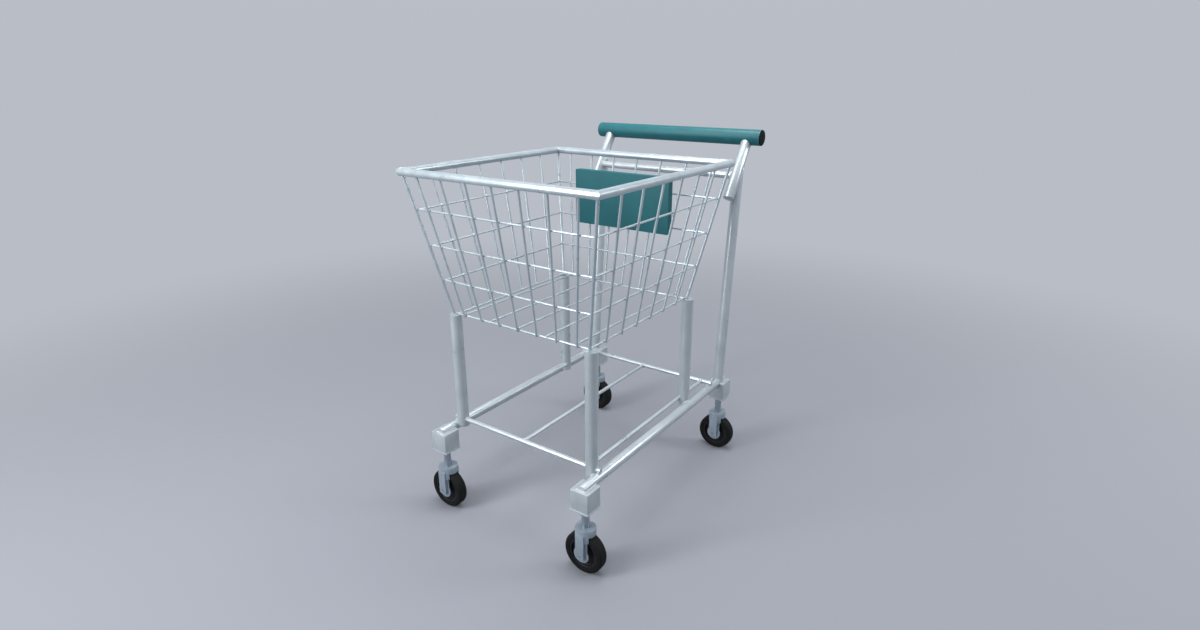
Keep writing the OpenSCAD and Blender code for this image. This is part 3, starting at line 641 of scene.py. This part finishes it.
X, Y, Z = Vector((1, 0, 0)), Vector((0, 1, 0)), Vector((0, 0, 1))
bar_r = span("front_crossbar").z / 2
rod_r = span("shelf_rods").z / 2
rails, legs, arms, uprights = {}, {}, {}, {}
LEAN_ARM, LEAN_UPRIGHT = math.radians(34.0), math.radians(4.3)
ARM_R, UPRIGHT_R, LINK_R, ARM_LENGTH, ARM_END_FREE = 0.0155, 0.015, 0.010, 0.195, 0.002
UPRIGHT_FOOT_Y, LINK_DROP = 0.305568, 0.123
ROD_X, BEAD_SEAT, BLOCK_BEAD_RISE = 0.208, 0.0006, 0.0003
TACK_STEP, TACK_HALF_STEPS, TACK_PLACE = 0.001, 6, 0.62
grip_axis = middle("handle_tube")
for side in SIDES:
    rails[side] = (middle(f"{side}_rail"), Y, span(f"{side}_rail").z / 2)
    arms[side] = (Vector((rails[side][0].x, grip_axis.y, grip_axis.z)),
                  Vector((0, math.sin(LEAN_ARM), math.cos(LEAN_ARM))), ARM_R)
    uprights[side] = (Vector((rails[side][0].x, UPRIGHT_FOOT_Y, rails[side][0].z)),
                      Vector((0, math.sin(LEAN_UPRIGHT), math.cos(LEAN_UPRIGHT))), UPRIGHT_R)
for leg in LEGS:
    legs[leg] = (middle(leg), Z, span(leg).x / 2)

frame_runs = []
for leg, tube in legs.items():
    rail = rails["left" if "left" in leg else "right"]
    frame_runs += meeting(tube, rail, True)
front_bar, rear_bar = middle("front_crossbar"), middle("rear_crossbar")
for side, sign in SIDES.items():
    leg = legs[f"front_{side}_leg"]
    for far_side in (False, True):
        frame_runs += meeting((front_bar, X, bar_r), leg, far_side)
    frame_runs += meeting(uprights[side], rails[side], True)
    joint = meeting(uprights[side], arms[side], False)
    top, way, _ = arms[side]
    for run, _ in joint:
        frame_runs += runs_of([p if (top - p).dot(way) < ARM_LENGTH - ARM_END_FREE else None for p in run])
    link = (grip_axis - arms[side][1] * LINK_DROP, sign * X, LINK_R)
    frame_runs += meeting(link, arms[side], False)
    for bar in (front_bar, rear_bar):
        for way_y in (-1, 1):
            rail_at, _, rail_r = rails[side]
            run = []
            for i in range(-TACK_HALF_STEPS, TACK_HALF_STEPS + 1):
                dx = i * TACK_STEP
                run.append(Vector((rail_at.x + dx, bar.y + way_y * bar_r * TACK_PLACE,
                                   rail_at.z + math.sqrt(rail_r ** 2 - dx ** 2) + BEAD_SEAT)))
            frame_runs.append((run, False))
for x in (-ROD_X, 0.0, ROD_X):
    rod = (Vector((x, 0, front_bar.z)), Y, rod_r)
    frame_runs += meeting(rod, (rear_bar, X, bar_r), False)
    if x == 0:
        frame_runs += meeting(rod, (front_bar, X, bar_r), True)
    else:
        side = "left" if x > 0 else "right"
        frame_runs += meeting(rod, legs[f"front_{side}_leg"], True)
        for far_side in (False, True):
            frame_runs += meeting(rod, legs[f"rear_{side}_leg"], far_side)
for corner in CORNERS:
    low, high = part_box(f"{corner}_block")
    rail_at, _, rail_r = rails[corner.split("_")[1]]
    rail_low, rail_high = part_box(f"{corner.split('_')[1]}_rail")
    is_front = corner.startswith("front")
    end_y, inner_y = (rail_low.y, high.y) if is_front else (rail_high.y, low.y)
    arc = [Vector((rail_at.x + rail_r * math.cos(a), inner_y, rail_at.z - rail_r * math.sin(a)))
           for a in [math.pi * i / 16 for i in range(17)]]
    top_z = high.z + BLOCK_BEAD_RISE
    ends = [Vector((rail_at.x - rail_r, end_y, top_z)), Vector((rail_at.x + rail_r, end_y, top_z))]
    frame_runs.append((arc + ends, True))
beads("frame_weld_beads", frame_runs, radius=0.0023, pitch=0.0019, depth=0.22,
      material=tube_coat)

# The beads at the rim's mitres are ground off on its outer side.
basket_runs = []
RIM_BEAD_PLACE, GROUND_FROM = 0.98, 0.86
LEG_RING = [2 * math.pi * i / 24 for i in range(24)]
MITRE_RING = [2 * math.pi * i / 40 for i in range(40)]
leg_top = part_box("front_left_leg")[1].z
for foot, head, inward in wires:
    rim_way = X if inward.y else Y
    basket_runs += meeting((foot, (head - foot).normalized(), WIRE_R), (head, rim_way, RIM_R), False, 24)
for foot, head in corner_lines:
    basket_runs += meeting((foot, (head - foot).normalized(), CORNER_R), (head, X, RIM_R), False, 24)
    on_leg = foot.lerp(head, (leg_top + BEAD_SEAT - foot.z) / (head.z - foot.z))
    round_leg = [on_leg + CORNER_R * Vector((math.cos(a), math.sin(a), 0)) for a in LEG_RING]
    basket_runs.append((round_leg, True))
    mitre = Vector((math.copysign(1, head.x), math.copysign(1, head.y - rim_y), 0))
    basket_runs += runs_of([
        head + RIM_R * RIM_BEAD_PLACE * (math.cos(a) * mitre + math.sin(a) * Z)
        if math.cos(a) < GROUND_FROM else None for a in MITRE_RING])
beads("basket_weld_beads", basket_runs, radius=0.0011, pitch=0.0011, depth=0.18,
      material=wire_coat)

# ---- Board -------------------------------------------------------------------------------
# A thick moulded board stands inside the rear wall. Four bent steel brackets, welded to two ring
# wires, hold it by pan head screws in its back.

# Teal polypropylene again, in a plain tool with a matt etched face, a little deeper in colour.
board_plastic = surface(
    "etched teal polypropylene", "#0f5058", "#13585f", roughness=0.60, spread=0.05,
    patch_mm=90.0, grain_mm=1.1, depth_mm=0.05, Specular_IOR_Level=0.3)
BOARD_EDGE = 0.0018
set_piece("rear_board_moulded", eased_copy("rear_board", BOARD_EDGE, 3), board_plastic,
          "frame", ["rear_board"])

BRACKET_GAP, BRACKET_EDGE, SCREW_RISE, SCREW_PLACE = 0.0001, 0.0005, 0.003, 0.017
BRACKET_W, BRACKET_T, BRACKET_TAB, OUTER_BEND_R, INNER_BEND_R = 0.020, 0.003, 0.028, 0.0035, 0.0015
BEND = [math.radians(a) for a in range(0, 91, 15)]
board_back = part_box("rear_board")[1].y
bracket_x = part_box("board_brackets")[1].x - BRACKET_W / 2
brackets = bmesh.new()
bracket_screws = []
for ring, way in (("middle_ring", 1), ("high_ring", -1)):
    ring_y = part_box(ring)[1].y - 2 * RING_R
    z = middle(ring).z - way * BRACKET_T / 2
    back = board_back + BRACKET_GAP
    outline = [(ring_y, z), (ring_y, z + way * BRACKET_T)]
    outline += [(back + BRACKET_T + INNER_BEND_R * (1 - math.sin(a)),
                 z + way * (BRACKET_T + INNER_BEND_R * (1 - math.cos(a)))) for a in BEND]
    outline += [(back + BRACKET_T, z + way * BRACKET_TAB), (back, z + way * BRACKET_TAB)]
    outline += [(back + OUTER_BEND_R * (1 - math.cos(a)),
                 z + way * OUTER_BEND_R * (1 - math.sin(a))) for a in BEND]
    for side in SIDES.values():
        left = [brackets.verts.new((side * bracket_x - BRACKET_W / 2, y, h)) for y, h in outline]
        right = [brackets.verts.new((side * bracket_x + BRACKET_W / 2, y, h)) for y, h in outline]
        brackets.faces.new(left)
        brackets.faces.new(right)
        for i in range(len(outline)):
            j = (i + 1) % len(outline)
            brackets.faces.new((left[i], left[j], right[j], right[i]))
        bracket_screws.append((side * bracket_x, back + BRACKET_T + SCREW_RISE,
                               middle(ring).z + way * SCREW_PLACE))
bmesh.ops.recalc_face_normals(brackets, faces=brackets.faces)
edges = [e for e in brackets.edges if e.calc_face_angle() > math.radians(40)]
bmesh.ops.bevel(brackets, geom=edges, offset=BRACKET_EDGE, segments=2, profile=0.5,
                affect="EDGES", clamp_overlap=True)
set_piece("board_brackets_bent", brackets, tube_coat, "frame", ["board_brackets"])
pan_head = cross_screw(
    head_r=0.0044, head_h=0.0029, shank_r=0.0024, length=0.013, recess_r=0.0023, domed=True)
screw_row("board_screws_pan_head", pan_head,
          bracket_screws, [(0, 1, 0)] * len(bracket_screws), ["board_screws"])

# ---- Casters -----------------------------------------------------------------------------
# Each caster turns on a zinc plated stem in the block's bush. A cast fork holds a nylon centred
# wheel with a black rubber tyre, on an axle pin that is pressed through the fork's ribs.

# A blue-grey coat over the fork's casting, a shade darker than the frame's.
fork_coat = surface(
    "blue-grey coat on cast fork", "#8b99a6", "#97a4b0", roughness=0.38, spread=0.06,
    patch_mm=30.0, grain_mm=1.2, depth_mm=0.07, metallic=0.50, Coat_Weight=0.15, Coat_Roughness=0.3)
# Solid black rubber: dull, with slightly greyer patches and a fine mould grain.
tyre_rubber = surface(
    "moulded black rubber", "#0a0b0c", "#101112", roughness=0.72, spread=0.08,
    patch_mm=18.0, grain_mm=0.7, depth_mm=0.03, Specular_IOR_Level=0.18)
# Glass filled black nylon: a shade greyer than the rubber and shinier, with faint patches.
wheel_nylon = surface(
    "moulded black nylon", "#111214", "#17181a", roughness=0.50, spread=0.06,
    patch_mm=10.0, grain_mm=0.6, depth_mm=0.01, Specular_IOR_Level=0.3)

TYRE_BORE, SHOULDER, LIP_R, GROOVE_FROM, GROOVE_TO, WALL_R = 0.04005, 0.007, 0.0442, 0.0447, 0.0465, 0.0470
HUB_R, HUB_BORE, CORE_R, WEB, FLANGE_HALF = 0.015, 0.00508, 0.040, 0.0045, 0.0125
FORK_EDGE, PIN_R, PIN_CHAMFER = 0.0012, 0.005, 0.0008
STEM_R, NECK_LOW, NECK_HIGH, NECK_SLOPE = 0.0095, 0.0123, 0.0144, 0.0004
for corner in CORNERS:
    caster, roller = f"{corner}_caster", f"{corner}_roller"
    hub = middle(f"{corner}_tyre")
    tyre_r, half_w = span(f"{corner}_tyre").z / 2, span(f"{corner}_tyre").y / 2

    half = [(TYRE_BORE, half_w - 0.0006), (TYRE_BORE + 0.0008, half_w), (LIP_R, half_w),
            (GROOVE_FROM, half_w - 0.0006), (GROOVE_TO, half_w - 0.0007), (WALL_R, half_w - 0.0001)]
    half += [(tyre_r - SHOULDER + SHOULDER * math.sin(math.radians(a)),
              half_w - SHOULDER + SHOULDER * math.cos(math.radians(a))) for a in range(6, 91, 12)]
    half += [(tyre_r, 0.0014), (tyre_r - 0.0004, 0.0009), (tyre_r - 0.0004, 0.0002)]
    tyre = bmesh.new()
    turned(tyre, half + [(r, -h) for r, h in reversed(half)], hub, Y, 96, loop=True)
    set_piece(f"{corner}_tyre_moulded", tyre, tyre_rubber, roller, [f"{corner}_tyre"])

    core_half = span(f"{corner}_wheel").y / 2
    side_face = [(HUB_BORE, core_half - 0.0005), (HUB_BORE + 0.0005, core_half),
                 (HUB_R - 0.001, core_half), (HUB_R, core_half - 0.001),
                 (HUB_R + 0.0006, WEB + 0.002), (HUB_R + 0.0026, WEB),
                 (CORE_R - 0.0075, WEB), (CORE_R - 0.0055, WEB + 0.002),
                 (CORE_R - 0.005, FLANGE_HALF - 0.0008), (CORE_R - 0.0042, FLANGE_HALF),
                 (CORE_R - 0.0005, FLANGE_HALF), (CORE_R, FLANGE_HALF - 0.0005)]
    core = bmesh.new()
    turned(core, side_face + [(r, -h) for r, h in reversed(side_face)], hub, Y, 72, loop=True)
    set_piece(f"{corner}_wheel_moulded", core, wheel_nylon, roller, [f"{corner}_wheel"])

    fork = f"{corner}_fork"
    set_piece(f"{fork}_cast", eased_copy(fork, FORK_EDGE, 3), fork_coat, caster, [fork])

    pin_half = span(f"{corner}_axle").y / 2
    pin = bmesh.new()
    turned(pin, [(0, -pin_half), (PIN_R - PIN_CHAMFER, -pin_half), (PIN_R, PIN_CHAMFER - pin_half),
                 (PIN_R, pin_half - PIN_CHAMFER), (PIN_R - PIN_CHAMFER, pin_half), (0, pin_half)],
           hub, Y, 48)
    set_piece(f"{corner}_axle_pin", pin, zinc_plate, caster, [f"{corner}_axle"])

    stem_low, stem_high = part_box(f"{corner}_stem")
    length = stem_high.z - stem_low.z
    stem = bmesh.new()
    stem_foot = (hub.x, hub.y, stem_low.z)
    turned(stem, [(0, 0), (STEM_R - 0.0005, 0), (STEM_R, 0.0005), (STEM_R, NECK_LOW),
                  (STEM_R - 0.0006, NECK_LOW + NECK_SLOPE), (STEM_R - 0.0006, NECK_HIGH - NECK_SLOPE),
                  (STEM_R, NECK_HIGH),
                  (STEM_R, length - 0.0055), (STEM_R - 0.001, length - 0.0054),
                  (STEM_R - 0.001, length - 0.0036), (STEM_R, length - 0.0035), (STEM_R, length - 0.001),
                  (STEM_R - 0.001, length), (0, length)], stem_foot, Z, 64)
    # The retaining ring in the groove near the stem's top.
    turned(stem, [(STEM_R - 0.0009, length - 0.0052), (STEM_R + 0.0025, length - 0.0052),
                  (STEM_R + 0.0025, length - 0.0038), (STEM_R - 0.0009, length - 0.0038)],
           stem_foot, Z, 64, loop=True)
    set_piece(f"{corner}_stem_turned", stem, zinc_plate, caster, [f"{corner}_stem"])

# ---- Update ------------------------------------------------------------------------------
# The view layer is brought up to date.
bpy.context.view_layer.update()
